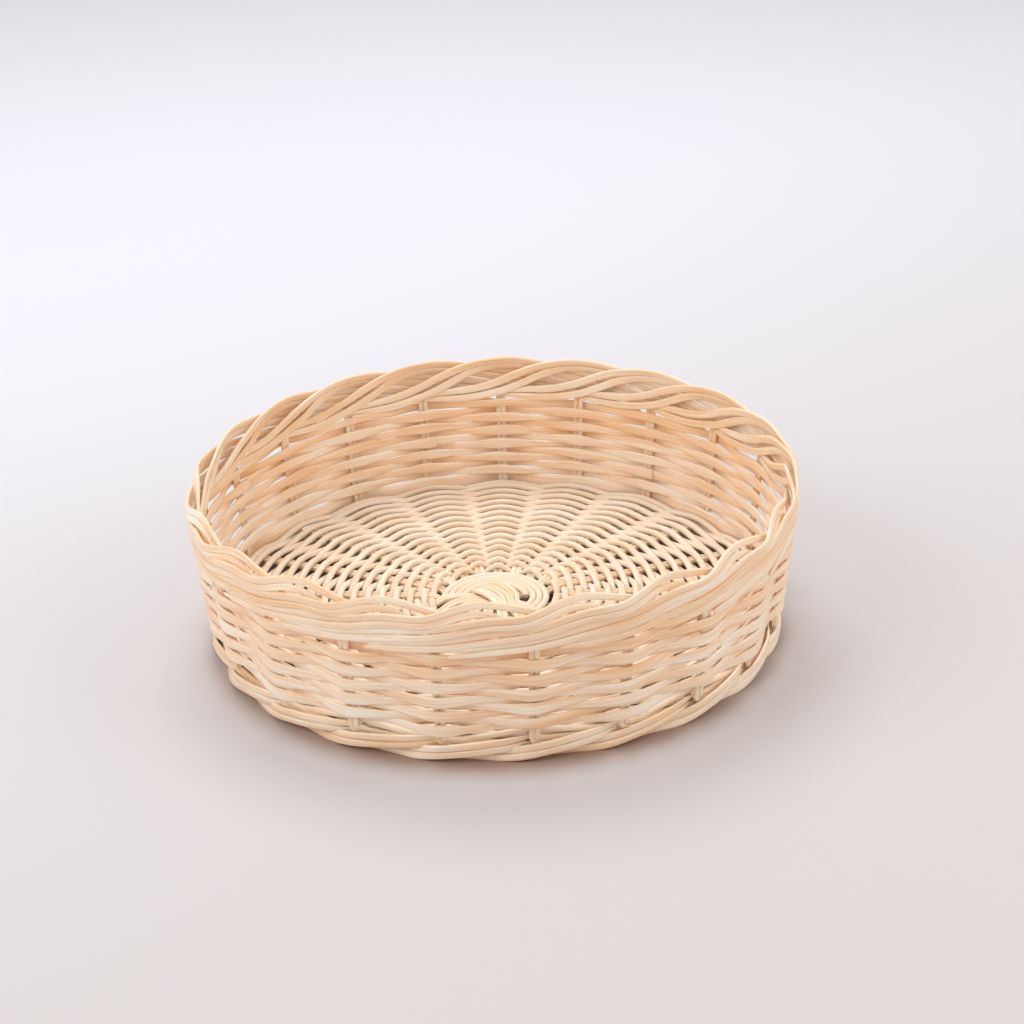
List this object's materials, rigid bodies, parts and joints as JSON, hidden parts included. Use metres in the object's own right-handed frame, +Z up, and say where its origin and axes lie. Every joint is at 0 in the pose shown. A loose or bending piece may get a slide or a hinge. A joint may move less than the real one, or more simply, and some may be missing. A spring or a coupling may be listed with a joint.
{
  "type": "round woven basket",
  "caption": "Shallow round rattan basket with a flared woven wall, a rolled rim and foot border and a woven base, for holding bread, fruit or small goods.",
  "frame": {"origin": "on the floor, below the middle of the basket", "axes": "+Z up, out of the open mouth; -Y towards the viewer of the picture; +X to the right"},
  "size_m": [0.2486, 0.2484, 0.068],
  "materials": {
    "stake_reed": "unvarnished, satin",
    "wall_strip": "unvarnished, satin",
    "spoke_reed": "unvarnished, matte",
    "base_reed": "unvarnished, matte"
  },
  "bodies": {
    "root": {"spoke_group_01_pair_1": "spoke_reed", "spoke_group_01_pair_2": "spoke_reed", "spoke_group_01_pair_3": "spoke_reed", "spoke_group_02_pair_1": "spoke_reed", "spoke_group_02_pair_2": "spoke_reed", "spoke_group_03_pair_1": "spoke_reed", "spoke_group_03_pair_2": "spoke_reed", "spoke_group_03_pair_3": "spoke_reed", "spoke_group_04_pair_1": "spoke_reed", "spoke_group_04_pair_2": "spoke_reed", "added_spoke_pair": "spoke_reed", "star_binding": "base_reed", "base_weaver_01": "base_reed", "base_weaver_02": "base_reed", "base_weaver_03": "base_reed", "base_weaver_04": "base_reed", "base_weaver_05": "base_reed", "base_weaver_06": "base_reed", "base_weaver_07": "base_reed", "base_weaver_08": "base_reed", "base_weaver_09": "base_reed", "stake_pair_01": "stake_reed", "stake_pair_02": "stake_reed", "stake_pair_03": "stake_reed", "stake_pair_04": "stake_reed", "stake_pair_05": "stake_reed", "stake_pair_06": "stake_reed", "stake_pair_07": "stake_reed", "stake_pair_08": "stake_reed", "stake_pair_09": "stake_reed", "stake_pair_10": "stake_reed", "stake_pair_11": "stake_reed", "stake_pair_12": "stake_reed", "stake_pair_13": "stake_reed", "stake_pair_14": "stake_reed", "stake_pair_15": "stake_reed", "stake_pair_16": "stake_reed", "stake_pair_17": "stake_reed", "stake_pair_18": "stake_reed", "stake_pair_19": "stake_reed", "stake_pair_20": "stake_reed", "stake_pair_21": "stake_reed", "wall_weaver_01": "wall_strip", "wall_weaver_02": "wall_strip", "wall_weaver_03": "wall_strip", "wall_weaver_04": "wall_strip", "wall_weaver_05": "wall_strip", "wall_weaver_06": "wall_strip", "wall_weaver_07": "wall_strip"}
  },
  "joints": []
}
